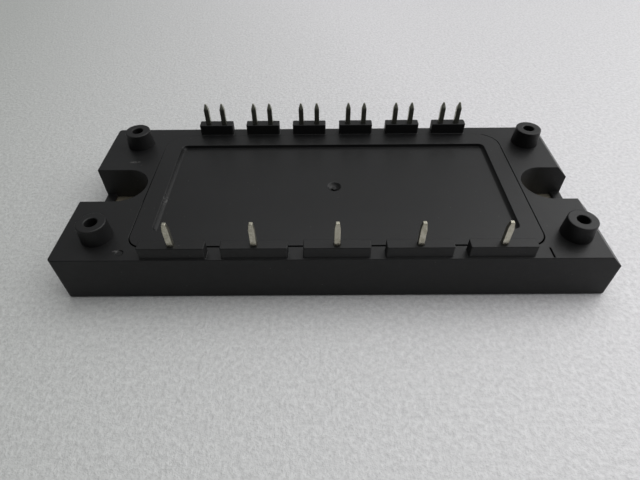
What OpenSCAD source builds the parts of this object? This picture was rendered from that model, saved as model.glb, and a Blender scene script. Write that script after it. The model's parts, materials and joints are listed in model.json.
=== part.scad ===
// Six-switch transistor power module for soldering to a circuit board.
// Origin: centre of the underside. X runs along the length, +Y towards the signal terminals,
// +Z up towards the circuit board. Millimetres.

/* [Case] */
// Length of the case
case_l = 107.5; // [98:0.1:120]
// Width of the case
case_w = 45; // [41:0.1:52]
// Height of the case above the heatsink
case_h = 10.8; // [10:0.1:13]
// Radius of the case's upright corners
case_corner_r = 0.8; // [0.2:0.1:1.5]
// Bevel along the top edge of the right end
end_bevel = 2.75; // [1:0.05:3]
// Step from the heatsink up to the case's lower rim
rim_step = 0.25; // [0.1:0.05:0.5]

/* [Base plate] */
// Distance from the case's ends in to the base plate's ends
plate_inset_x = 1.25; // [0.8:0.05:2]
// Distance from the case's long sides in to the base plate's sides
plate_inset_y = 1.2; // [0.8:0.05:1.5]
// Thickness of the base plate
plate_t = 3; // [2.6:0.1:3.3]
// Radius of the base plate's corners
plate_corner_r = 2; // [1:0.1:4]
// Gap between the base plate and the case's rim
plate_gap = 0.15; // [0.1:0.05:0.3]
// Distance from the case's ends in to the heatsink screws
mount_inset = 7.25; // [6.5:0.05:8]
// Radius of the heatsink screw holes
mount_hole_r = 2.75; // [2:0.05:3.2]

/* [Screw notches] */
// Radius of the screw notch in each end
notch_r = 5.45; // [4:0.05:5.9]
// Width of the sill that the case leaves across a notch's open end
sill_w = 2.25; // [1.6:0.05:3]
// Height of the sill above the base plate
sill_h = 0.65; // [0.4:0.05:1]
// Thinnest wall between a screw notch and the lid
notch_wall = 0.9; // [0.4:0.05:1.5]

/* [Screw posts] */
// Distance from the case's ends in to the board screw posts
post_inset_x = 7.25; // [6.7:0.05:8]
// Distance from the case's long sides in to the board screw posts
post_inset_y = 6.5; // [5:0.05:8]
// Radius of a post
post_r = 3.05; // [2.4:0.05:3.5]
// Height of a post above the case, up to where the circuit board lies
post_h = 3.7; // [2.8:0.1:6]
// Radius of the board screw holes
post_hole_r = 1.2; // [0.8:0.05:1.4]
// Depth of the board screw holes
post_hole_depth = 8.5; // [5:0.1:9.5]
// Bevel of a post's rim and of the hole's mouth
post_bevel = 0.12; // [0.05:0.01:0.3]

/* [Lid] */
// Distance from the front blocks to the lid's front edge
lid_front_gap = 1; // [0.6:0.05:1.4]
// Distance from the back blocks to the lid's back edge
lid_back_gap = 0.4; // [0.3:0.05:1.2]
// Radius of the lid's front corners
lid_front_r = 3; // [1:0.1:5]
// Radius of the lid's back corners
lid_back_r = 4.5; // [1:0.1:5]
// Thickness of the lid
lid_t = 2; // [1.6:0.1:2.2]
// Open seam round the lid's ends and back edge
lid_gap = 0.12; // [0.05:0.01:0.15]
// Open seam along the lid's front edge
lid_front_seam = 0.3; // [0.1:0.05:0.4]
// Width of the lid's flat border along its front and back edges
lid_border = 4.2; // [3:0.1:6]
// Width of the lid's flat border at its ends
lid_end_border = 3.8; // [3:0.1:6]
// Depth of the sunk panel, which is also the radius of the cove round its floor
panel_depth = 0.8; // [0.3:0.05:1]
// Radius of the sunk panel's corners
panel_r = 1.3; // [1.1:0.1:4]
// Radius of the moulding gate's dimple
dimple_r = 1; // [0.7:0.05:2]
// Depth of the moulding gate's dimple
dimple_depth = 0.4; // [0.2:0.05:0.6]
// Radius of the gate's broken stub in the dimple
stub_r = 0.35; // [0.2:0.05:0.8]
// Height of the gate's broken stub
stub_h = 0.2; // [0.1:0.05:0.4]
// Depth of the locating skirt under the lid
skirt_depth = 0.8; // [0.5:0.05:1]
// Thickness of the locating skirt
skirt_t = 0.9; // [0.6:0.05:1.2]
// Gap between the skirt and the inner wall
skirt_gap = 0.2; // [0.1:0.05:0.3]

/* [Inner walls] */
// Width of the shelf that carries each end of the lid
lid_shelf_x = 4.15; // [3.5:0.05:5]
// Width of the shelf that carries the lid's front edge
lid_shelf_y = 1.5; // [1:0.05:1.8]
// Width of each bonding ledge
ledge_w = 2.3; // [2:0.1:2.5]
// Height of the bonding ledges above the base plate
ledge_rise = 2.2; // [1.9:0.05:2.5]
// Air between the soft filling and the lid's skirt
gel_gap = 0.3; // [0.1:0.05:0.5]
// Distance from the chamber to the adhesive bead
bead_inset = 2.3; // [1.8:0.05:2.6]
// Width of the adhesive bead
bead_t = 1.2; // [0.8:0.1:1.6]
// Height of the adhesive bead
bead_h = 0.35; // [0.2:0.05:0.5]

/* [Terminal rows] */
// Distance from the case's long sides in to the rows of terminals
row_inset = 1.545; // [1.5:0.005:2]
// Distance between neighbouring power terminals
power_pitch = 15.24; // [14:0.01:16]
// Distance between neighbouring pairs of signal terminals
pair_pitch = 11.43; // [10.5:0.01:12]
// Distance between the two terminals of a pair
pin_pitch = 3.81; // [3.5:0.01:4.2]
// Width of a terminal
pin_w = 1.15; // [0.8:0.05:1.2]
// Thickness of a terminal
pin_t = 1; // [0.6:0.05:1.1]
// Height of the terminals' tips above their blocks
pin_rise = 5.25; // [4:0.05:9]
// Length of a terminal's tapered tip
tip_l = 1.4; // [0.8:0.1:2]
// Width across the end of a signal terminal's pointed tip
signal_tip_w = 0.35; // [0.2:0.05:0.5]
// Width across the end of a power terminal's blunt tip
power_tip_w = 0.7; // [0.3:0.05:0.8]
// Thickness of a terminal's bonding foot
foot_t = 0.8; // [0.5:0.05:0.9]
// Width of a power terminal's bonding foot
power_foot_w = 3; // [2:0.1:4]
// Length of a bonding foot on its ledge
foot_reach = 1.7; // [1.4:0.05:1.9]

/* [Terminal blocks] */
// Height of the raised blocks above the case
block_h = 2.6; // [1.2:0.1:2.7]
// Depth of a block, across the case
block_d = 2.3; // [1.8:0.05:2.6]
// Width of a power terminal's block
power_block_w = 12.4; // [8:0.1:13]
// Width of a signal pair's block
signal_block_w = 8.1; // [6.5:0.1:9]
// Radius of a block's upright edges
block_r = 0.35; // [0.1:0.05:0.6]

/* [Mould marks] */
// Length of the parting slit beside the minus terminal
slit_l = 2.5; // [1:0.1:3]
// Width of the parting slit
slit_w = 0.3; // [0.15:0.05:0.6]
// Depth of the parting slit
slit_depth = 0.6; // [0.3:0.05:1]
// Distance from the case's front side in to the parting slit
slit_inset = 0.3; // [0.2:0.05:0.8]
// Radius of the ejector mark beside the plus terminal
mark_r = 0.7; // [0.4:0.05:1]
// Depth of the ejector mark
mark_depth = 0.15; // [0.05:0.05:0.4]
// Distance from the case's front side in to the middle of the ejector mark
mark_inset = 2; // [1.2:0.1:2.5]

/* [Substrates] */
// Gap between neighbouring ceramics
substrate_gap = 1.06; // [0.6:0.02:1.6]
// Gap between the outer ceramics and the chamber's ends
substrate_end_gap = 2.24; // [1:0.02:3]
// Gap between the ceramics and the bonding ledges
substrate_side_gap = 1; // [0.5:0.05:1.5]
// Thickness of a ceramic
ceramic_t = 0.4; // [0.25:0.05:0.5]
// Thickness of the copper on either side of a ceramic
copper_t = 0.3; // [0.2:0.05:0.3]
// Bare margin of the ceramic round its copper
ceramic_margin = 0.5; // [0.3:0.05:0.6]
// Thickness of the solder under a substrate
solder_t = 0.2; // [0.1:0.05:0.25]
// Gap between neighbouring tracks
track_gap = 0.6; // [0.4:0.05:0.7]
// Width of the rails along a substrate's edges
rail_w = 1.8; // [1.6:0.05:1.9]
// Size of the landing pads for the signal ribbons
pad_w = 2.2; // [1.6:0.05:2.4]

/* [Chips and ribbons] */
// Side of a diode chip
diode_w = 5.6; // [4.4:0.1:6]
// Bare copper beside the chips, where the ribbons land
strip_w = 1.5; // [1:0.1:1.8]
// Bare copper between a chip and the sides of its field
chip_margin = 0.5; // [0.3:0.05:0.8]
// Bare copper between a transistor and the back end of its field
transistor_margin = 0.6; // [0.4:0.05:1]
// Bare copper between a diode and the front end of its field
diode_margin = 1.2; // [0.6:0.05:1.6]
// Bare copper between a transistor and its diode
chip_gap = 2.8; // [1.5:0.1:3.5]
// Thickness of the chips
chip_t = 0.2; // [0.1:0.01:0.25]
// Width of a power bonding ribbon
power_ribbon_w = 1.6; // [0.8:0.05:1.7]
// Width of a signal bonding ribbon
signal_ribbon_w = 0.5; // [0.3:0.05:0.7]
// Thickness of the bonding ribbons
ribbon_t = 0.25; // [0.1:0.01:0.3]
// Rise of the ribbons that stay on the substrates, above the chips
low_rise = 1.4; // [1.1:0.05:1.6]
// Rise of the ribbons that reach the terminals, above the bonding feet
foot_rise = 1.1; // [0.9:0.05:1.2]
// Bend radius of the bonding ribbons
ribbon_bend_r = 0.7; // [0.4:0.05:0.8]

/* [Hidden] */
$fn = 48;
PHASES = ["u", "v", "w"];
SIDES = ["high", "low"];
POWER = ["plus", "u", "v", "w", "minus"];

cut = 1;                                    // how far a cutting shape runs past the face it cuts
plate_l = case_l - 2 * plate_inset_x;
plate_w = case_w - 2 * plate_inset_y;
pin_y = case_w / 2 - row_inset;             // middle of a row of terminals
mount_x = case_l / 2 - mount_inset;         // middle of a screw notch
post_x = case_l / 2 - post_inset_x;
post_y = case_w / 2 - post_inset_y;
sill_top = plate_t + sill_h;
block_top = case_h + block_h;
post_top = case_h + post_h;
pin_top = block_top + pin_rise;

lid_l = 2 * (mount_x - notch_r - notch_wall);
lid_front = pin_y - block_d / 2 - lid_front_gap;  // from the middle line to the lid's front edge
lid_back = pin_y - block_d / 2 - lid_back_gap;    // from the middle line to the lid's back edge
lid_seat = case_h - lid_t;                  // underside of the lid
gel_h = lid_seat - skirt_depth - gel_gap;   // height of the soft filling

chamber_l = lid_l - 2 * lid_shelf_x;
chamber_w = 2 * (lid_front - lid_shelf_y);  // width of the chamber above the bonding ledges
lower_w = chamber_w - 2 * ledge_w;          // width of the chamber below the ledges
bead_l = chamber_l + 2 * (bead_inset + bead_t);
bead_w = lower_w + 2 * (bead_inset + bead_t);
ledge_h = plate_t + ledge_rise;
foot_h = ledge_h + foot_t;                  // top of the bonding feet
foot_y = chamber_w / 2 - foot_reach;        // inner end of the bonding feet
landing_y = chamber_w / 2 - foot_reach / 2; // where the ribbons land on the feet

ceramic_l = (chamber_l - 2 * substrate_end_gap - 2 * substrate_gap) / 3;
ceramic_w = lower_w - 2 * substrate_side_gap;
phase_pitch = ceramic_l + substrate_gap;
copper_l = ceramic_l - 2 * ceramic_margin;
copper_w = ceramic_w - 2 * ceramic_margin;
lower_copper_z = plate_t + solder_t;
ceramic_z = lower_copper_z + copper_t;
track_z = ceramic_z + ceramic_t;
chip_z = track_z + copper_t;                // top of the tracks, where the chips lie
chip_top = chip_z + chip_t;

edge_y = copper_w / 2;                      // outer edge of the tracks across the case
pad_y = edge_y - rail_w / 2;                // middle of the signal pads
plus_y = pad_y - rail_w - track_gap;        // middle of the plus rail
minus_y = -edge_y + rail_w / 2;             // middle of the minus rail
out_y = minus_y + rail_w + track_gap;       // middle of the output rail
field_back = plus_y - rail_w / 2 - track_gap;  // back end of the output field
field_front = out_y + rail_w / 2 + track_gap;  // front end of the plus field
field_l = (copper_l - track_gap) / 2;       // length of a field along the case
field_x = (field_l + track_gap) / 2;        // middle of a field
chip_x = field_x + strip_w / 2;             // middle of the low chips
transistor_l = field_l - strip_w - 2 * chip_margin;
transistor_w = field_back - field_front - diode_w - transistor_margin - chip_gap - diode_margin;
transistor_y = field_back - transistor_margin - transistor_w / 2;
diode_y = field_front + diode_margin + diode_w / 2;
chip_inset = 1.3;                           // from a chip's edge to the ribbons that land on it
landing_shift = rail_w / 4;                 // ribbons that share a pad land this far off its middle
end_landing_x = copper_l / 2 - 1.5 * rail_w; // where power ribbons land, from a substrate's middle

low_crest = chip_top + low_rise;
foot_crest = foot_h + foot_rise;

function power_x(i) = (i - 2) * power_pitch;
function phase_x(p) = (p - 1) * phase_pitch;          // middle of a phase's substrate
function terminal_x(p) = (p - 1) * 2 * pair_pitch;    // middle of a phase's signal terminals
// Seen from the middle of their phase: side 0 is the high switch, 1 the low one
function pair_x(side) = (side - 0.5) * pair_pitch;
function gate_x(side) = pair_x(side) - pin_pitch / 2;
function emitter_x(side) = pair_x(side) + pin_pitch / 2;
function side_sign(side) = 2 * side - 1;

// ---- plan shapes ----

module rounded_rect(l, w, r) {
    square([l - 2 * r, w], center = true);
    square([l, w - 2 * r], center = true);
    for (x = [-1, 1], y = [-1, 1])
        translate([x * (l / 2 - r), y * (w / 2 - r)]) circle(r);
}

// The lid's outline, with larger corners at the back, grown by a gap round its ends and back edge
// and by another along its front edge
module lid_plan(gap, front_gap) {
    l = lid_l + 2 * gap;
    front = lid_front + front_gap;
    back = lid_back + gap;
    front_r = lid_front_r + gap;
    back_r = lid_back_r + gap;
    translate([-l / 2, front_r - front]) square([l, front + back - front_r - back_r]);
    translate([front_r - l / 2, -front]) square([l - 2 * front_r, front]);
    translate([back_r - l / 2, 0]) square([l - 2 * back_r, back]);
    for (side = [-1, 1]) {
        translate([side * (l / 2 - front_r), front_r - front]) circle(front_r);
        translate([side * (l / 2 - back_r), back - back_r]) circle(back_r);
    }
}

// A screw notch seen from above: a half round, then straight sides for a reach towards the case's end
module notch_plan(reach) {
    intersection() {
        circle(notch_r);
        translate([-notch_r, -notch_r]) square([notch_r, 2 * notch_r]);
    }
    translate([0, -notch_r]) square([reach, 2 * notch_r]);
}

module at_both_ends() {
    translate([mount_x, 0, 0]) children();
    mirror([1, 0, 0]) translate([mount_x, 0, 0]) children();
}

module at_posts() {
    for (x = [-1, 1], y = [-1, 1])
        translate([x * post_x, y * post_y, 0]) children();
}

// ---- case ----

// A turned post with a bevelled rim, its foot at z = 0
module post(h) {
    rotate_extrude()
        polygon([[0, -cut], [post_r, -cut], [post_r, h - post_bevel], [post_r - post_bevel, h], [0, h]]);
}

module post_hole() {
    translate([0, 0, post_top - post_hole_depth]) cylinder(r = post_hole_r, h = post_hole_depth + cut);
    translate([0, 0, post_top - post_bevel])
        cylinder(r1 = post_hole_r, r2 = post_hole_r + post_bevel, h = post_bevel);
}

module terminal_block(x, y, l) {
    translate([x, y, lid_seat])
        linear_extrude(block_top - lid_seat) rounded_rect(l, block_d, block_r);
}

module terminal_blocks() {
    for (i = [0:4]) terminal_block(power_x(i), -pin_y, power_block_w);
    for (p = [0:2], side = [0, 1])
        terminal_block(terminal_x(p) + pair_x(side), pin_y, signal_block_w);
}

// The chamber that holds the circuit: narrow on the base plate, wider above the ledges
module chamber(top) {
    translate([0, 0, (plate_t + top) / 2]) cube([chamber_l, lower_w, top - plate_t], center = true);
    translate([0, 0, (ledge_h + top) / 2]) cube([chamber_l, chamber_w, top - ledge_h], center = true);
}

module bead_ring() {
    translate([0, 0, plate_t]) linear_extrude(bead_h) difference() {
        square([bead_l, bead_w], center = true);
        square([bead_l - 2 * bead_t, bead_w - 2 * bead_t], center = true);
    }
}

// What the mould leaves beside the row of power terminals: a slit where two inserts part, at the
// minus end, and a round ejector mark at the plus end
module mould_marks() {
    translate([lid_l / 2, slit_inset + slit_l / 2 - case_w / 2, case_h])
        cube([slit_w, slit_l, 2 * slit_depth], center = true);
    translate([-lid_l / 2 - mark_r, mark_inset - case_w / 2, case_h - mark_depth])
        cylinder(r = mark_r, h = mark_depth + cut);
}

module end_bevel_cut() {
    translate([case_l / 2, case_w, case_h]) rotate([90, 0, 0]) linear_extrude(2 * case_w)
        polygon([[-end_bevel, 0], [0, -end_bevel], [cut, -end_bevel], [cut, cut], [-end_bevel, cut]]);
}

module case() {
    color([0.08, 0.08, 0.085]) difference() {
        union() {
            translate([0, 0, rim_step]) linear_extrude(case_h - rim_step)
                rounded_rect(case_l, case_w, case_corner_r);
            terminal_blocks();
            at_posts() translate([0, 0, case_h]) post(post_top - case_h);
        }
        end_bevel_cut();
        at_posts() post_hole();
        at_both_ends() {
            translate([0, 0, sill_top]) linear_extrude(case_h) notch_plan(mount_inset + cut);
            translate([0, 0, plate_t]) linear_extrude(sill_h + cut) notch_plan(mount_inset - sill_w);
        }
        linear_extrude(plate_t) rounded_rect(plate_l + 2 * plate_gap, plate_w + 2 * plate_gap,
                                             plate_corner_r + plate_gap);
        chamber(lid_seat + cut);
        translate([0, 0, lid_seat]) linear_extrude(case_h) lid_plan(lid_gap, lid_front_seam);
        bead_ring();
        mould_marks();
        terminals();
    }
}

// ---- lid ----

// Half of a sunk panel's section: a wall that curves into the floor, its mouth at y = 0
module cove_section(reach) {
    translate([0, -panel_depth]) square([reach - panel_depth, panel_depth + cut]);
    square([reach, cut]);
    intersection() {
        translate([reach - panel_depth, 0]) circle(panel_depth);
        translate([reach - panel_depth, -panel_depth]) square(panel_depth);
    }
}

// A sunk panel with a cove all round its floor, its mouth at z = 0
module sunk_panel(l, w) {
    for (turn = [0, 1], side = [0, 1]) {
        reach = (turn == 0 ? w : l) / 2;
        along = (turn == 0 ? l : w) - 2 * panel_r;
        rotate([90, 0, 90 - 90 * turn]) translate([0, 0, -along / 2]) linear_extrude(along)
            mirror([side, 0]) cove_section(reach);
    }
    for (x = [-1, 1], y = [-1, 1]) translate([x * (l / 2 - panel_r), y * (w / 2 - panel_r), 0])
        rotate_extrude() cove_section(panel_r);
}

module lid() {
    panel_w = lid_front + lid_back - 2 * lid_border;
    dimple_ball_r = (dimple_r * dimple_r + dimple_depth * dimple_depth) / (2 * dimple_depth);
    dimple_z = case_h - panel_depth - dimple_depth;
    color([0.09, 0.09, 0.095]) {
        difference() {
            union() {
                translate([0, 0, lid_seat]) linear_extrude(lid_t) lid_plan(0, 0);
                translate([0, 0, lid_seat - skirt_depth]) linear_extrude(skirt_depth) difference() {
                    square([chamber_l - 2 * skirt_gap, chamber_w - 2 * skirt_gap], center = true);
                    square([chamber_l - 2 * (skirt_gap + skirt_t),
                            chamber_w - 2 * (skirt_gap + skirt_t)], center = true);
                }
            }
            translate([0, (lid_back - lid_front) / 2, case_h])
                sunk_panel(lid_l - 2 * lid_end_border, panel_w);
            translate([0, 0, dimple_z + dimple_ball_r]) sphere(dimple_ball_r);
        }
        translate([0, 0, lid_seat]) cylinder(r = stub_r, h = dimple_z + stub_h - lid_seat);
    }
}

// ---- base plate ----

module base_plate() {
    color([0.72, 0.67, 0.56]) linear_extrude(plate_t) difference() {
        rounded_rect(plate_l, plate_w, plate_corner_r);
        for (x = [-1, 1]) translate([x * mount_x, 0]) circle(mount_hole_r);
    }
}

module adhesive_bead() {
    color([0.85, 0.85, 0.82]) bead_ring();
}

// ---- terminals ----

// One side of a terminal's shank, drawn upright: straight up to the tapered tip
module shank_plan(w, tip_w) {
    polygon([[-w / 2, 0], [w / 2, 0], [w / 2, pin_top - ledge_h - tip_l], [tip_w / 2, pin_top - ledge_h],
             [-tip_w / 2, pin_top - ledge_h], [-w / 2, pin_top - ledge_h - tip_l]]);
}

// A stamped terminal bent into a flat bonding foot that points in from the back row
module terminal(foot_w, tip_w) {
    translate([0, pin_y, ledge_h]) intersection() {
        translate([0, pin_t / 2, 0]) rotate([90, 0, 0]) linear_extrude(pin_t) shank_plan(pin_w, tip_w);
        translate([-pin_w / 2, 0, 0]) rotate([90, 0, 90]) linear_extrude(pin_w) shank_plan(pin_t, tip_w);
    }
    translate([-foot_w / 2, foot_y, ledge_h]) cube([foot_w, pin_y + pin_t / 2 - foot_y, foot_t]);
}

module power_pin(i) {
    color([0.8, 0.78, 0.7]) translate([power_x(i), 0, 0]) mirror([0, 1, 0])
        terminal(power_foot_w, power_tip_w);
}

module signal_pin(x) {
    color([0.78, 0.76, 0.7]) translate([x, 0, 0]) terminal(pin_w, signal_tip_w);
}

module terminals() {
    for (i = [0:4]) power_pin(i);
    for (p = [0:2], side = [0, 1], x = [gate_x(side), emitter_x(side)]) signal_pin(terminal_x(p) + x);
}

// ---- substrates ----

module substrate_sheet(l, w, z, t) {
    translate([-l / 2, -w / 2, z]) cube([l, w, t]);
}

module solder(p) {
    color([0.62, 0.63, 0.65]) translate([phase_x(p), 0, 0])
        substrate_sheet(copper_l, copper_w, plate_t, solder_t);
}

module lower_copper(p) {
    color([0.75, 0.42, 0.25]) translate([phase_x(p), 0, 0])
        substrate_sheet(copper_l, copper_w, lower_copper_z, copper_t);
}

module ceramic(p) {
    color([0.93, 0.93, 0.9]) translate([phase_x(p), 0, 0])
        substrate_sheet(ceramic_l, ceramic_w, ceramic_z, ceramic_t);
}

// A track from one corner to the opposite one
module track(x0, y0, x1, y1) {
    translate([x0, y0]) square([x1 - x0, y1 - y0]);
}

// Plus field and output field hook round each other; the minus rail runs along the front edge
module tracks_plan() {
    half_l = copper_l / 2;
    track(-half_l, field_front, -track_gap / 2, plus_y);
    track(-half_l, plus_y - rail_w / 2, half_l, plus_y + rail_w / 2);
    track(track_gap / 2, out_y, half_l, field_back);
    track(-half_l, out_y - rail_w / 2, half_l, out_y + rail_w / 2);
    track(-half_l, minus_y - rail_w / 2, half_l, minus_y + rail_w / 2);
    for (side = [0, 1], x = [gate_x(side), emitter_x(side)])
        track(x - pad_w / 2, pad_y - rail_w / 2, x + pad_w / 2, pad_y + rail_w / 2);
}

module tracks(p) {
    color([0.78, 0.45, 0.28]) translate([phase_x(p), 0, track_z])
        linear_extrude(copper_t) tracks_plan();
}

module chip(p, side, y, l, w) {
    translate([phase_x(p) + side_sign(side) * chip_x - l / 2, y - w / 2, chip_z]) cube([l, w, chip_t]);
}

module transistor(p, side) {
    color([0.45, 0.47, 0.5]) chip(p, side, transistor_y, transistor_l, transistor_w);
}

module diode(p, side) {
    color([0.55, 0.56, 0.58]) chip(p, side, diode_y, diode_w, diode_w);
}

// ---- bonding ribbons ----

// An arch seen from the side, filled down to its base, with two rounded upper corners
module arch(l, base, top, r) {
    translate([-l / 2, base]) square([l, top - r - base]);
    translate([r - l / 2, base]) square([l - 2 * r, top - base]);
    for (x = [-1, 1]) translate([x * (l / 2 - r), top - r]) circle(r);
}

// A ribbon that stands up from one landing, runs level at the crest and comes down on the other
module ribbon(from, to, crest, w) {
    step = [to[0] - from[0], to[1] - from[1]];
    span = norm(step);
    low = min(from[2], to[2]);
    translate([(from[0] + to[0]) / 2, (from[1] + to[1]) / 2, 0])
        rotate([0, 0, atan2(step[1], step[0])]) rotate([90, 0, 0])
            translate([0, 0, -w / 2]) linear_extrude(w) difference() {
                arch(span + ribbon_t, low, crest + ribbon_t / 2, ribbon_bend_r + ribbon_t / 2);
                arch(span - ribbon_t, low - cut, crest - ribbon_t / 2, ribbon_bend_r - ribbon_t / 2);
                for (landing = [[-span / 2, from[2]], [span / 2, to[2]]])
                    translate([landing[0] - ribbon_t, low - cut])
                        square([2 * ribbon_t, landing[1] - low + cut]);
            }
}

// The high switch's ribbons run along the case, from its chips to the output field
module high_ribbons() {
    for (chip = [[transistor_y, transistor_l], [diode_y, diode_w]])
        ribbon([chip[1] / 2 - chip_inset - chip_x, chip[0], chip_top],
               [(track_gap + strip_w) / 2, chip[0], chip_z], low_crest, power_ribbon_w);
}

// The low switch's ribbons run across the case, from chip to chip and on to the minus rail
module low_ribbons() {
    x = chip_x - power_ribbon_w / 2;
    ribbon([x, transistor_y, chip_top], [x, diode_y + diode_w / 2 - chip_inset, chip_top],
           low_crest, power_ribbon_w);
    ribbon([x, diode_y - diode_w / 2 + chip_inset, chip_top], [x, minus_y, chip_z],
           low_crest, power_ribbon_w);
}

// Each gate and emitter has one ribbon from its chip to a pad and one from the pad to its terminal
module signal_ribbons(p) {
    on_chip_y = transistor_y + transistor_w / 2 - chip_inset;
    for (side = [0, 1], x = [gate_x(side), emitter_x(side)]) {
        on_substrate = phase_x(p) + x;
        ribbon([on_substrate, on_chip_y, chip_top], [on_substrate, pad_y - landing_shift, chip_z],
               low_crest, signal_ribbon_w);
        ribbon([on_substrate, pad_y + landing_shift, chip_z], [terminal_x(p) + x, landing_y, foot_h],
               foot_crest, signal_ribbon_w);
    }
}

// The ribbon from a power terminal's foot to a rail or field of phase p
module power_ribbon(i, p, x, y) {
    ribbon([power_x(i), -landing_y, foot_h], [phase_x(p) + x, y, chip_z], foot_crest, power_ribbon_w);
}

module ribbons(p) {
    color([0.85, 0.85, 0.87]) {
        translate([phase_x(p), 0, 0]) {
            high_ribbons();
            low_ribbons();
        }
        signal_ribbons(p);
        power_ribbon(p + 1, p, (1 - p) * end_landing_x, out_y);
    }
}

// Plus and minus: ribbons from their terminals, and bridges between neighbouring substrates
module bus_ribbons() {
    reach = copper_l / 2 - rail_w / 2;
    color([0.85, 0.85, 0.87]) {
        power_ribbon(0, 0, -end_landing_x, field_front + landing_shift);
        power_ribbon(4, 2, end_landing_x, minus_y);
        for (p = [0, 1], y = [plus_y, minus_y])
            ribbon([phase_x(p) + reach, y, chip_z], [phase_x(p + 1) - reach, y, chip_z],
                   low_crest, power_ribbon_w);
    }
}

// ---- soft filling ----

module gel() {
    color([0.9, 0.92, 0.95, 0.4]) difference() {
        chamber(gel_h);
        terminals();
        bus_ribbons();
        for (p = [0:2]) {
            solder(p);
            lower_copper(p);
            ceramic(p);
            tracks(p);
            ribbons(p);
            for (side = [0, 1]) {
                transistor(p, side);
                diode(p, side);
            }
        }
    }
}

// ---- nodes ----

case();
lid();
base_plate();
adhesive_bead();
gel();
bus_ribbons();
for (i = [0:4])
    power_pin(i);
for (p = [0:2]) {
    solder(p);
    lower_copper(p);
    ceramic(p);
    tracks(p);
    ribbons(p);
    for (s = [0, 1]) {
        unit = str(PHASES[p], "_", SIDES[s]);
        signal_pin(terminal_x(p) + gate_x(s));
        signal_pin(terminal_x(p) + emitter_x(s));
        transistor(p, s);
        diode(p, s);
    }
}
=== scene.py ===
import json
import math

import bmesh
import bpy
from mathutils import Euler, Matrix, Vector


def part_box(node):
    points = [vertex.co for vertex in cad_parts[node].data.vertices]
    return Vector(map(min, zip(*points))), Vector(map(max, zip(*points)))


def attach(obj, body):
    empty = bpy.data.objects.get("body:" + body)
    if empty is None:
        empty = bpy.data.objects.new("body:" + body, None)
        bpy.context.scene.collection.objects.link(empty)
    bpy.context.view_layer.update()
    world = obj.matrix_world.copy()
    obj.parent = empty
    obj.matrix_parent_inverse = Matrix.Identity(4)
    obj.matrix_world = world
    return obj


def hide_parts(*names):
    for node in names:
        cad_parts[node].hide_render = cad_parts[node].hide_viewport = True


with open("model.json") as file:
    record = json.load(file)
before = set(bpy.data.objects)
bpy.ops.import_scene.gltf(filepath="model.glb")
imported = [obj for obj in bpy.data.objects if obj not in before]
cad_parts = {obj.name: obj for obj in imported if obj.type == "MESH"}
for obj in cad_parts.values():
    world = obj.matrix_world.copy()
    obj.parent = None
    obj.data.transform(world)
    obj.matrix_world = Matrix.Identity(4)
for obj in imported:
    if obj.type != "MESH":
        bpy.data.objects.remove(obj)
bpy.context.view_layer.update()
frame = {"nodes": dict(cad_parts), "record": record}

# A black moulded power module on a pale bench: rounded edges, moulded plastic, tinned terminals,
# a plated base, and the circuit that the soft filling covers.

MM = 0.001
MERGE = 0.0005 * MM               # corners closer than this are one corner
FLAT_ANGLE = math.radians(0.6)    # faces that turn less than this are one face
EDGE_ANGLE = math.radians(35)     # an edge that turns more than this is a real edge
SHARP_ANGLE = math.radians(50)    # a rounding that turns more than this still shades as an edge
FLAT_NORMAL = 0.99999             # a face whose normal lies this much along one axis is a flat side

CASE_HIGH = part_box("case")[1]
LID_LOW, LID_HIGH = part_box("lid")

# The four posts. The case's top is level with the lid's.
POST_PITCH = next(mount["dims"] for mount in frame["record"]["mounts"] if mount["name"] == "board_screws")
POST_X = POST_PITCH["spacing_x_mm"] / 2 * MM
POST_Y = POST_PITCH["spacing_y_mm"] / 2 * MM
POSTS = [Vector((x, y)) for x in (-POST_X, POST_X) for y in (-POST_Y, POST_Y)]
POST_DRAFT = 0.2 * MM        # how much narrower a post is at its top than at its foot
POST_RIM = 0.2 * MM          # a corner this near the case's highest point belongs to a post's rim
POST_WALL = 2 * MM           # and one further than this from the post's axis to its outer wall
POST_FOOT = 4 * MM           # an inner edge this near the axis, level with the lid, is a post's foot

# The sunk panel in the lid, and the gate's dimple in its middle
PANEL_END_BORDER = 3.8 * MM  # from the lid's ends to the panel
PANEL_BORDER = 4.2 * MM      # from the lid's front and back to the panel
PANEL_R = 1.3 * MM           # radius of the panel's corners
PANEL_DEEPEST = 1.5 * MM     # the panel and its dimple are less deep than this
PANEL_LIP = 0.1 * MM         # an edge this near the panel's front belongs to it
BACK_REACH = 0.2             # the panel's front and back walls are this share of the drawn cove
SIDE_REACH = 0.4             # and its end walls this share, with a slope besides
SIDE_SLOPE = 0.42 * MM       # how far that slope reaches inwards
DIMPLE_REACH = 3 * MM        # nothing else on the lid lies this near its middle
DIMPLE_GROWTH = (1.5, 1.6, 2)     # how many times as long, wide and deep the dimple becomes

# The seam round the lid
SEAM_REACH = 0.2 * MM        # an edge this near the lid's outline belongs to the seam
SEAM_LENGTH = 15 * MM        # the straight part of the lid's left end is longer than this
SNUG_Y = -6 * MM             # the lid's left end fits snugly behind here, and the whole back edge
SNUG_SHIFT = 0.09 * MM       # how much of the lid's gap its snug edge takes up
LID_BACK_R = 4.5 * MM        # radius of the lid's back corners
LID_EDGE = 1.2 * MM          # what lies deeper than this on the lid is hidden

# Hidden under the lid: what is this far inside its ends and its sides, and this far below its top
CHAMBER_END = 3 * MM
CHAMBER_SIDE = 1 * MM
CHAMBER_TOP = 1.5 * MM

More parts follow.
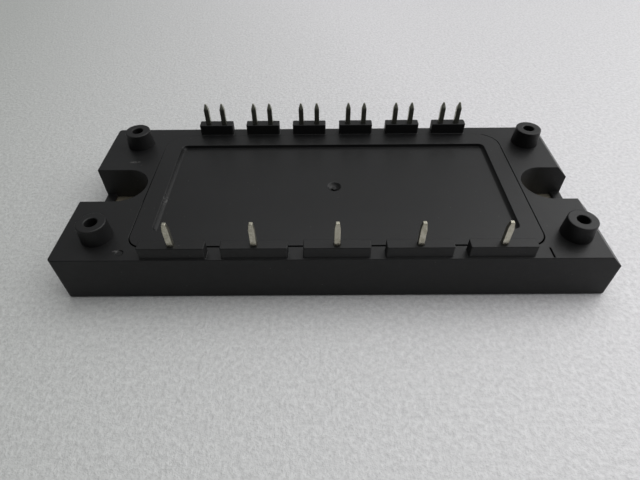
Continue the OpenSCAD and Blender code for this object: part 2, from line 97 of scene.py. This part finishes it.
# Where handling has scuffed the plastic, as the middle and the reach of each scuff:
# in front of the left posts, and on the panel's left wall
CASE_SCUFFS = [
    (Vector((-POST_X + 0.3 * MM, POST_Y - 7.5 * MM, LID_HIGH.z)), Vector((1.5, 0.45, 1)) * MM),
    (Vector((-POST_X + 5 * MM, -POST_Y - 4 * MM, LID_HIGH.z)), Vector((0.9, 0.4, 1)) * MM),
]
LID_SCUFFS = [
    (Vector((LID_LOW.x + 4.3 * MM, -4.5 * MM, LID_HIGH.z)), Vector((0.7, 3, 1)) * MM),
    (Vector((LID_LOW.x + 4.6 * MM, 14.3 * MM, LID_HIGH.z)), Vector((0.7, 0.7, 1)) * MM),
]

BLACK = 0.008                # what the plastic scatters; the rest of its tone is reflection
SCUFFED = 0.07               # what a scuff scatters

# A short lens close over the front edge, looking down and back
LENS = 25.74
EYE = Vector((-2.88, -79.38, 73.04)) * MM
EYE_TURN = Euler([math.radians(turn) for turn in (44.89, 0.377, -0.128)])

DIMMEST = -0.3               # the room's walls are at their dimmest where they face this far away


# ---- material helpers ----

class Finish:
    """A material under construction: its node tree, its shader and its Object coordinates."""

    def __init__(self, name):
        self.material = bpy.data.materials.new(name)
        self.material.use_nodes = True
        self.tree = self.material.node_tree
        self.shader = self.tree.nodes["Principled BSDF"]
        self.place = self.node("ShaderNodeTexCoord").outputs["Object"]

    def node(self, kind, **inputs):
        made = self.tree.nodes.new(kind)
        for name, value in inputs.items():
            self.feed(made.inputs[name], value)
        return made

    def feed(self, socket, value):
        if isinstance(value, bpy.types.NodeSocket):
            self.tree.links.new(value, socket)
        else:
            socket.default_value = value

    def set(self, **values):
        """Sets the shader's own sockets, whose names are written with underscores for spaces."""
        for name, value in values.items():
            self.feed(self.shader.inputs[name.replace("_", " ")], value)
        return self

    def stretched(self, along):
        """Object coordinates scaled by a factor along each axis."""
        mapping = self.node("ShaderNodeMapping", Vector=self.place)
        mapping.inputs["Scale"].default_value = along
        return mapping.outputs["Vector"]

    def facing_up(self):
        """How far the surface faces up: 1 on a level top, 0 on an upright wall."""
        normal = self.node("ShaderNodeNewGeometry").outputs["Normal"]
        return self.node("ShaderNodeSeparateXYZ", Vector=normal).outputs["Z"]

    def along(self, direction):
        """How far a place lies along a direction, in metres."""
        made = self.node("ShaderNodeVectorMath")
        made.operation = "DOT_PRODUCT"
        self.feed(made.inputs[0], self.place)
        made.inputs[1].default_value = direction
        return made.outputs["Value"]

    def noise(self, size, detail=3, roughness=0.55, place=None, distortion=0):
        """Noise whose lumps are about that size, in metres."""
        made = self.node("ShaderNodeTexNoise", Vector=place or self.place, Scale=1 / size,
                         Detail=detail, Roughness=roughness, Distortion=distortion)
        return made.outputs["Fac"]

    def cells(self, size, place=None):
        """Distance to the nearest of many scattered points, about that far apart in metres."""
        made = self.node("ShaderNodeTexVoronoi", Vector=place or self.place, Scale=1 / size)
        return made.outputs["Distance"]

    def ramp(self, value, low, high, to_low=0, to_high=1):
        """Value from low to high becomes to_low to to_high, and stops there."""
        made = self.node("ShaderNodeMapRange", Value=value)
        made.inputs["From Min"].default_value = low
        made.inputs["From Max"].default_value = high
        made.inputs["To Min"].default_value = to_low
        made.inputs["To Max"].default_value = to_high
        return made.outputs["Result"]

    def blend(self, share, first, second):
        """The first colour where share is 0, the second where it is 1."""
        made = self.tree.nodes.new("ShaderNodeMix")
        made.data_type = "RGBA"
        self.feed(made.inputs["Factor"], share)
        for label, value in (("A_Color", first), ("B_Color", second)):
            socket = next(s for s in made.inputs if s.identifier == label)
            self.feed(socket, value)
        return next(s for s in made.outputs if s.identifier == "Result_Color")

    def scaled(self, colour, factor):
        """A colour made lighter or darker by a factor that varies over the surface."""
        made = self.node("ShaderNodeVectorMath")
        made.operation = "SCALE"
        self.feed(made.inputs[0], colour)
        self.feed(made.inputs["Scale"], factor)
        return made.outputs["Vector"]

    def scuff(self, middle, reach):
        """1 inside a ragged scuff of that reach along each axis, 0 outside it."""
        offset = self.node("ShaderNodeVectorMath")
        offset.operation = "SUBTRACT"
        self.feed(offset.inputs[0], self.place)
        offset.inputs[1].default_value = middle
        share = self.node("ShaderNodeVectorMath")
        share.operation = "DIVIDE"
        self.feed(share.inputs[0], offset.outputs["Vector"])
        share.inputs[1].default_value = reach
        spread = self.node("ShaderNodeVectorMath")
        spread.operation = "LENGTH"
        self.feed(spread.inputs[0], share.outputs["Vector"])
        ragged = self.ramp(self.noise(0.5 * MM, detail=3, roughness=0.7), 0.35, 0.65, 0, 1.2)
        return self.ramp(self.maths("ADD", spread.outputs["Value"], ragged), 0.8, 1.3, 1, 0)

    def maths(self, operation, first, second):
        made = self.tree.nodes.new("ShaderNodeMath")
        made.operation = operation
        self.feed(made.inputs[0], first)
        self.feed(made.inputs[1], second)
        return made.outputs["Value"]

    def bump(self, *layers):
        """Relief from (height field, depth in metres) layers, each laid over the one before."""
        normal = None
        for height, depth in layers:
            made = self.node("ShaderNodeBump", Height=height, Distance=depth, Strength=1)
            if normal is not None:
                self.feed(made.inputs["Normal"], normal)
            normal = made.outputs["Normal"]
        return self.set(Normal=normal)


def grey(value, warmth=0):
    """A grey colour, warmer for a positive warmth and cooler for a negative one."""
    return (value * (1 + warmth), value, value * (1 - warmth), 1)


# ---- finishes ----

def moulded_plastic(name, tone, grain, scuffs):
    """Black glass-filled plastic: a fine eroded grain, faint flow marks, rub marks, dust and scuffs."""
    finish = Finish(name)
    flow = finish.noise(9 * MM, detail=4, place=finish.stretched((0.35, 1, 1)))
    rub = finish.noise(1.6 * MM, detail=5, roughness=0.7, distortion=0.8)
    speck = finish.cells(2.6 * MM)
    dust = finish.ramp(speck, 0.03, 0.055, 1, 0)
    plain = finish.blend(finish.ramp(flow, 0.3, 0.7), grey(tone * 0.9, -0.02), grey(tone * 1.12, -0.02))
    rubbed = finish.blend(finish.ramp(rub, 0.6, 0.85, 0, 0.5), plain, grey(tone * 1.6))
    marked = finish.blend(finish.maths("MULTIPLY", dust, 0.35), rubbed, grey(0.12, 0.03))
    for middle, reach in scuffs:
        marked = finish.blend(finish.scuff(middle, reach), marked, grey(SCUFFED, 0.02))
    finish.set(Base_Color=marked)
    upright = finish.ramp(finish.facing_up(), 0, 0.3, 0.2, 0)
    worn = finish.ramp(rub, 0.3, 0.8, 0.42, 0.34)
    finish.set(Roughness=finish.maths("ADD", worn, upright), Specular_IOR_Level=0.37)
    finish.bump((finish.noise(grain, detail=2), 0.012 * MM), (flow, 0.03 * MM))
    return finish.material


def tinned_metal(name, light, dark):
    """Terminal strip with a dull tin plating: rolled along its length, with darker blotches."""
    finish = Finish(name)
    rolled = finish.noise(0.12 * MM, detail=3, place=finish.stretched((1, 1, 0.12)))
    blotch = finish.noise(0.7 * MM, detail=4, roughness=0.65)
    tin = finish.blend(finish.ramp(blotch, 0.35, 0.75), light, dark)
    finish.set(Base_Color=tin, Metallic=1, Roughness=finish.ramp(blotch, 0.3, 0.7, 0.28, 0.45))
    finish.bump((rolled, 0.006 * MM))
    return finish.material


def plated_metal():
    """Nickel plating on copper: a faint rolling grain, with warmer stains."""
    finish = Finish("plated_base")
    rolled = finish.noise(0.25 * MM, detail=3, place=finish.stretched((0.05, 1, 1)))
    stain = finish.noise(7 * MM, detail=5, roughness=0.6, distortion=0.4)
    nickel = finish.blend(finish.ramp(stain, 0.4, 0.75), (0.74, 0.69, 0.57, 1), (0.62, 0.54, 0.39, 1))
    finish.set(Base_Color=nickel, Metallic=1, Roughness=finish.ramp(stain, 0.3, 0.7, 0.35, 0.48))
    finish.bump((rolled, 0.004 * MM))
    return finish.material


def plain_metal(name, light, dark, roughness, lump):
    """A bare metal whose colour varies a little in lumps of that size."""
    finish = Finish(name)
    patch = finish.noise(lump, detail=4)
    finish.set(Base_Color=finish.blend(finish.ramp(patch, 0.3, 0.7), light, dark), Metallic=1)
    finish.set(Roughness=finish.ramp(patch, 0.3, 0.7, roughness, roughness + 0.12))
    finish.bump((finish.noise(lump * 0.2, detail=2), 0.003 * MM))
    return finish.material


def fired_ceramic():
    """White alumina with a fine grain."""
    finish = Finish("white_ceramic")
    grain = finish.noise(0.3 * MM, detail=4)
    finish.set(Base_Color=finish.blend(finish.ramp(grain, 0.3, 0.7), grey(0.86, 0.01), grey(0.78, 0.02)))
    finish.set(Roughness=0.5)
    finish.bump((grain, 0.005 * MM))
    return finish.material


def soft_silicone(name, colour, clearness):
    """Cured silicone: slightly wavy, milky or clear."""
    finish = Finish(name)
    wave = finish.noise(4 * MM, detail=2)
    darker = tuple(0.92 * part for part in colour[:3]) + (1,)
    finish.set(Base_Color=finish.blend(finish.ramp(wave, 0.3, 0.7), colour, darker))
    finish.set(Roughness=0.25, IOR=1.41, Transmission_Weight=clearness)
    finish.bump((wave, 0.03 * MM))
    return finish.material


FINISHES = {
    "moulding": moulded_plastic("moulded_case", BLACK, 0.28 * MM, CASE_SCUFFS),
    "lid_moulding": moulded_plastic("moulded_lid", BLACK, 0.24 * MM, LID_SCUFFS),
    "plate_metal": plated_metal(),
    "tinned_pin": tinned_metal("bright_tin", (0.56, 0.54, 0.46, 1), (0.36, 0.34, 0.26, 1)),
    # painted shade: the back row of terminals gets the same tin made darker, standing for the shade of the
    # dark lid they reflect
    "shaded_pin": tinned_metal("shaded_tin", (0.4, 0.4, 0.34, 1), (0.26, 0.27, 0.22, 1)),
    "adhesive": soft_silicone("white_adhesive", grey(0.72, 0.02), 0),
    "gel": soft_silicone("clear_gel", (0.9, 0.93, 0.95, 1), 0.9),
    "ribbon_metal": plain_metal("bonding_aluminium", grey(0.86), grey(0.76), 0.25, 0.6 * MM),
    "solder": plain_metal("dull_solder", grey(0.6), grey(0.48), 0.4, 1.2 * MM),
    "copper": plain_metal("bare_copper", (0.86, 0.5, 0.32, 1), (0.72, 0.38, 0.24, 1), 0.3, 2 * MM),
    "ceramic": fired_ceramic(),
    "silicon": plain_metal("metallised_chip", grey(0.5, -0.04), grey(0.42, -0.04), 0.3, 1.5 * MM),
}


# ---- pieces ----

def slot_of(node):
    return next(part["material_slot"] for part in frame["record"]["subparts"] if part["node"] == node)


def middle_of(edge):
    return (edge.verts[0].co + edge.verts[1].co) / 2


def held(value, low, high):
    """Value, or the nearer limit where it lies outside them."""
    return min(max(value, low), high)


def in_chamber(point):
    """True under the lid, where nothing shows."""
    return (abs(point.x) < LID_HIGH.x - CHAMBER_END
            and LID_LOW.y + CHAMBER_SIDE < point.y < LID_HIGH.y - CHAMBER_SIDE
            and point.z < LID_HIGH.z - CHAMBER_TOP)


def at_snug_seam(point):
    """True along the part of the lid's seam that is too tight to show much."""
    if abs(point.x) > LID_HIGH.x + SEAM_REACH or point.y > LID_HIGH.y + SEAM_REACH:
        return False
    from_corner = Vector((point.x - LID_LOW.x, LID_HIGH.y - point.y)) - Vector((LID_BACK_R, LID_BACK_R))
    if max(from_corner) < 0:
        return from_corner.length > LID_BACK_R - SEAM_REACH
    at_left_end = point.x < LID_LOW.x + SEAM_REACH and point.y > SNUG_Y - MERGE
    return at_left_end or point.y > LID_HIGH.y - SEAM_REACH


def at_post_foot(point):
    """True on the round inner edge where a post stands on the case."""
    return (abs(point.z - LID_HIGH.z) < 1 * MM
            and any((point.xy - post).length < POST_FOOT for post in POSTS))


def left_sharp_on_case(point):
    return in_chamber(point) or at_snug_seam(point)


def left_sharp_on_lid(point):
    at_panel_front = abs(point.y - LID_LOW.y - PANEL_BORDER) < PANEL_LIP
    return point.z < LID_HIGH.z - LID_EDGE or at_snug_seam(point) or at_panel_front


def part_left_seam(shape):
    """Adds a corner where the snug part of the lid's left end starts."""
    long_edges = [edge for edge in shape.edges if edge.calc_length() > SEAM_LENGTH
                  and all(abs(corner.co.x - LID_LOW.x) < SEAM_REACH for corner in edge.verts)]
    made = bmesh.ops.subdivide_edges(shape, edges=long_edges, cuts=1)
    for corner in made["geom_inner"]:
        if isinstance(corner, bmesh.types.BMVert):
            corner.co.y = SNUG_Y


def draft_posts(shape):
    """Narrows the posts a little towards their tops, as they leave the mould."""
    for corner in shape.verts:
        if corner.co.z > CASE_HIGH.z - POST_RIM:
            outwards = min((corner.co.xy - post for post in POSTS), key=lambda reach: reach.length)
            if outwards.length > POST_WALL:
                corner.co.xy -= POST_DRAFT * outwards.normalized()


def close_snug_seam(shape):
    """Moves the snug part of the lid's edge almost up to the case."""
    for corner in shape.verts:
        if at_snug_seam(corner.co):
            near = Vector((max(corner.co.x, LID_LOW.x + LID_BACK_R),
                           min(corner.co.y, LID_HIGH.y - LID_BACK_R)))
            corner.co.xy += SNUG_SHIFT * (corner.co.xy - near).normalized()


def soften_panel(shape):
    """Slants the sunk panel's end walls, steepens its long ones and widens the gate's dimple."""
    sunk = [corner for corner in shape.verts
            if LID_HIGH.z - PANEL_DEEPEST < corner.co.z < LID_HIGH.z - MERGE
            and abs(corner.co.x) < LID_HIGH.x - PANEL_END_BORDER / 2]
    dimple = [corner for corner in sunk if corner.co.xy.length < DIMPLE_REACH]
    wall = [corner for corner in sunk if corner.co.xy.length >= DIMPLE_REACH]
    floor = min(corner.co.z for corner in wall)
    core_x = LID_HIGH.x - PANEL_END_BORDER - PANEL_R
    core_back = LID_HIGH.y - PANEL_BORDER - PANEL_R
    core_front = LID_LOW.y + PANEL_BORDER + PANEL_R
    for corner in wall:
        near = Vector((held(corner.co.x, -core_x, core_x), held(corner.co.y, core_front, core_back)))
        outwards = corner.co.xy - near
        cove = PANEL_R - outwards.length
        slope = SIDE_SLOPE * (LID_HIGH.z - corner.co.z) / (LID_HIGH.z - floor)
        outwards.normalize()
        inset = (SIDE_REACH * cove + slope) * outwards.x ** 2 + BACK_REACH * cove * outwards.y ** 2
        corner.co.xy = near + outwards * (PANEL_R - inset)
    bmesh.ops.scale(shape, vec=DIMPLE_GROWTH, space=Matrix.Translation((0, 0, -floor)), verts=dimple)


def reshape_case(shape):
    part_left_seam(shape)
    draft_posts(shape)


def reshape_lid(shape):
    part_left_seam(shape)
    close_snug_seam(shape)
    soften_panel(shape)


def smooth_roundings(shape):
    """Shades the roundings smoothly, while every flat side stays flat."""
    shape.normal_update()
    for face in shape.faces:
        face.smooth = True
    for edge in shape.edges:
        turn = edge.calc_face_angle(math.pi)
        beside_flat = any(max(abs(part) for part in face.normal) > FLAT_NORMAL for face in edge.link_faces)
        edge.smooth = turn < FLAT_ANGLE or (turn < SHARP_ANGLE and not beside_flat)


def rounded_copy(node, radius, finish, left_sharp=lambda point: False, reshape=lambda shape: None):
    """A copy of a CAD node, reshaped and with its visible edges rounded; it stands for the node."""
    name = node + "_finished"
    shape = bmesh.new()
    shape.from_mesh(frame["nodes"][node].data)
    bmesh.ops.remove_doubles(shape, verts=shape.verts, dist=MERGE)
    bmesh.ops.dissolve_limit(shape, angle_limit=FLAT_ANGLE, use_dissolve_boundaries=False,
                             verts=shape.verts, edges=shape.edges)
    reshape(shape)
    edges = [edge for edge in shape.edges
             if edge.is_manifold and edge.calc_face_angle(0) > EDGE_ANGLE
             and not left_sharp(middle_of(edge))
             and (edge.is_convex or not at_post_foot(middle_of(edge)))]
    bmesh.ops.bevel(shape, geom=edges, offset=radius, offset_type="OFFSET", segments=2,
                    profile=0.5, affect="EDGES", clamp_overlap=False, material=-1)
    smooth_roundings(shape)
    mesh = bpy.data.meshes.new(name)
    shape.to_mesh(mesh)
    shape.free()
    piece = bpy.data.objects.new(name, mesh)
    bpy.context.scene.collection.objects.link(piece)
    piece.modifiers.new("even_normals", "WEIGHTED_NORMAL").keep_sharp = True
    mesh.materials.append(FINISHES[finish])
    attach(piece, "root")
    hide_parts(node)


def terminals():
    return [name for name in sorted(frame["nodes"]) if "_pin_" in name]


rounded_copy("case", 0.12 * MM, "moulding", left_sharp_on_case, reshape_case)
rounded_copy("lid", 0.07 * MM, "lid_moulding", left_sharp_on_lid, reshape_lid)
rounded_copy("base_plate", 0.08 * MM, "plate_metal")
for terminal in terminals():
    # the power terminals get the plain tin, and the others its darker copy, which is painted shade
    rounded_copy(terminal, 0.1 * MM, "tinned_pin" if terminal.startswith("power") else "shaded_pin")

for name, node in frame["nodes"].items():
    if not node.hide_render:
        node.data.materials.clear()
        node.data.materials.append(FINISHES[slot_of(name)])


# ---- stage ----

def bench_finish():
    """A pale stone-grained sheet, with painted light that makes it lighter towards the right and the back.
    """
    finish = Finish("pale_bench")
    # painted light and shade: the fall of light across the bench, lighter to the right and back and darker
    # at the front left, laid on as a colour ramp
    lighter = finish.ramp(finish.along((1, 0.3, 0)), -0.1, 0.05)
    tone = finish.blend(lighter, (0.565, 0.58, 0.56, 1), (0.88, 0.87, 0.885, 1))
    mottle = finish.noise(3 * MM, detail=4, roughness=0.6)
    grain = finish.noise(0.9 * MM, detail=3, roughness=0.75)
    shade = finish.maths("MULTIPLY", finish.ramp(mottle, 0.3, 0.7, 0.98, 1.02),
                         finish.ramp(grain, 0.35, 0.65, 0.88, 1.1))
    finish.set(Base_Color=finish.scaled(tone, shade), Roughness=0.4)
    finish.bump((mottle, 0.1 * MM), (grain, 0.22 * MM))
    return finish.material


def bench():
    shape = bmesh.new()
    bmesh.ops.create_grid(shape, x_segments=1, y_segments=1, size=2.5)
    mesh = bpy.data.meshes.new("bench")
    shape.to_mesh(mesh)
    shape.free()
    mesh.materials.append(bench_finish())
    floor = bpy.data.objects.new("bench", mesh)
    bpy.context.scene.collection.objects.link(floor)


def softbox(name, place, width, height, watts):
    """A soft lamp that faces the part."""
    lamp = bpy.data.lights.new(name, "AREA")
    lamp.shape = "RECTANGLE"
    lamp.size = width
    lamp.size_y = height
    lamp.energy = watts
    stand = bpy.data.objects.new(name, lamp)
    stand.location = place
    stand.rotation_euler = (-Vector(place)).to_track_quat("-Z", "Y").to_euler()
    bpy.context.scene.collection.objects.link(stand)


def room(bright_side, dim, bright):
    """A plain room whose walls brighten towards one side."""
    world = bpy.data.worlds.new("room")
    world.use_nodes = True
    nodes = world.node_tree.nodes
    links = world.node_tree.links
    place = nodes.new("ShaderNodeTexCoord")
    facing = nodes.new("ShaderNodeVectorMath")
    facing.operation = "DOT_PRODUCT"
    facing.inputs[1].default_value = Vector(bright_side).normalized()
    level = nodes.new("ShaderNodeMapRange")
    level.inputs["From Min"].default_value = DIMMEST
    level.inputs["From Max"].default_value = 1
    level.inputs["To Min"].default_value = dim
    level.inputs["To Max"].default_value = bright
    links.new(place.outputs["Generated"], facing.inputs[0])
    links.new(facing.outputs["Value"], level.inputs["Value"])
    links.new(level.outputs["Result"], nodes["Background"].inputs["Strength"])
    nodes["Background"].inputs["Color"].default_value = grey(1, -0.01)
    bpy.context.scene.world = world


def camera():
    lens = bpy.data.cameras.new("camera")
    lens.sensor_width = 36
    lens.lens = LENS
    lens.clip_start = 1 * MM
    eye = bpy.data.objects.new("camera", lens)
    eye.location = EYE
    eye.rotation_euler = EYE_TURN
    bpy.context.scene.collection.objects.link(eye)
    bpy.context.scene.camera = eye


bench()
softbox("window", (0.75, 0.25, 0.6), 1.2, 1.0, 4.4)
softbox("ceiling", (0.1, 0.25, 1.1), 1.0, 1.0, 4.6)
room((0.7, 0.5, 0.5), 0.09, 0.46)
camera()
bpy.context.scene.view_settings.view_transform = "Standard"
